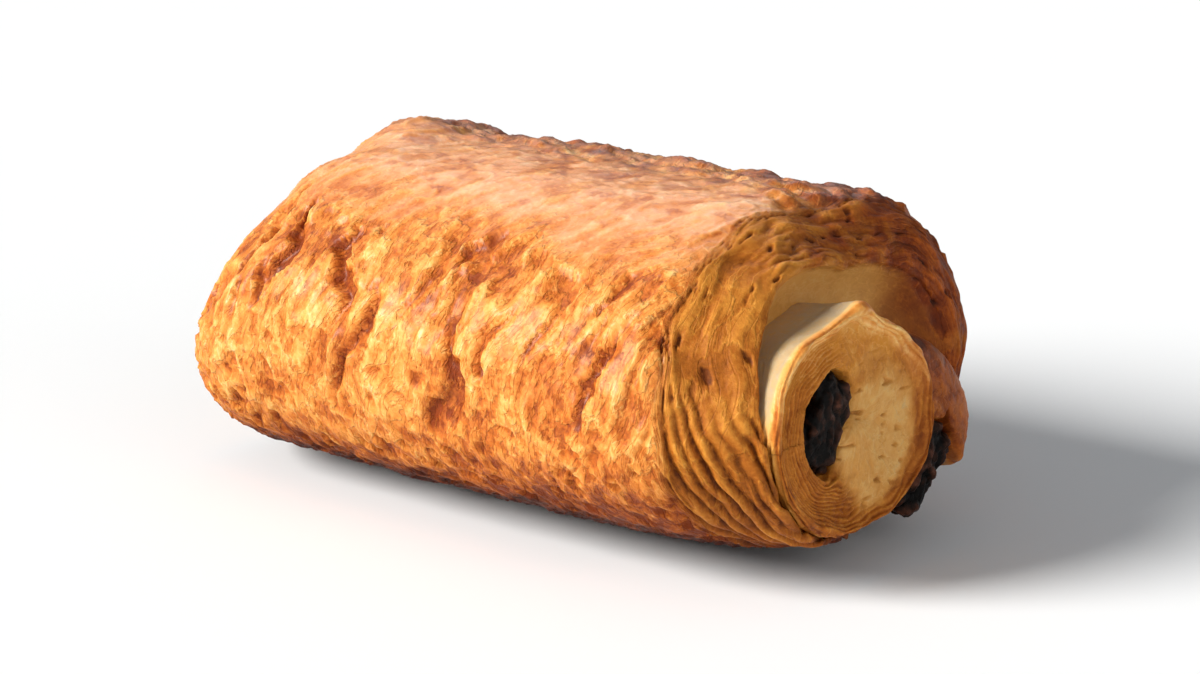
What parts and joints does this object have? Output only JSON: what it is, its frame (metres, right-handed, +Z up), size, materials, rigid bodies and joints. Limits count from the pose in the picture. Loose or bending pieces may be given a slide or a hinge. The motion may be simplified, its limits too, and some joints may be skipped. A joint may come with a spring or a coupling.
{
  "type": "pain au chocolat",
  "caption": "Baked laminated pastry rolled into a coil round dark chocolate batons, whose ends show at the coil's open ends.",
  "frame": {"origin": "on the ground under the middle of the pastry, at the centre of the box's underside", "axes": "+X along the coil, out of the coiled end that faces the viewer; +Y across it, from the side with the front baton to the side with the rear one; +Z up"},
  "size_m": [0.118, 0.0754, 0.0551],
  "materials": {
    "pastry": null,
    "chocolate": null
  },
  "bodies": {
    "root": {"pastry": "pastry", "front_baton": "chocolate", "rear_baton": "chocolate"}
  },
  "joints": []
}
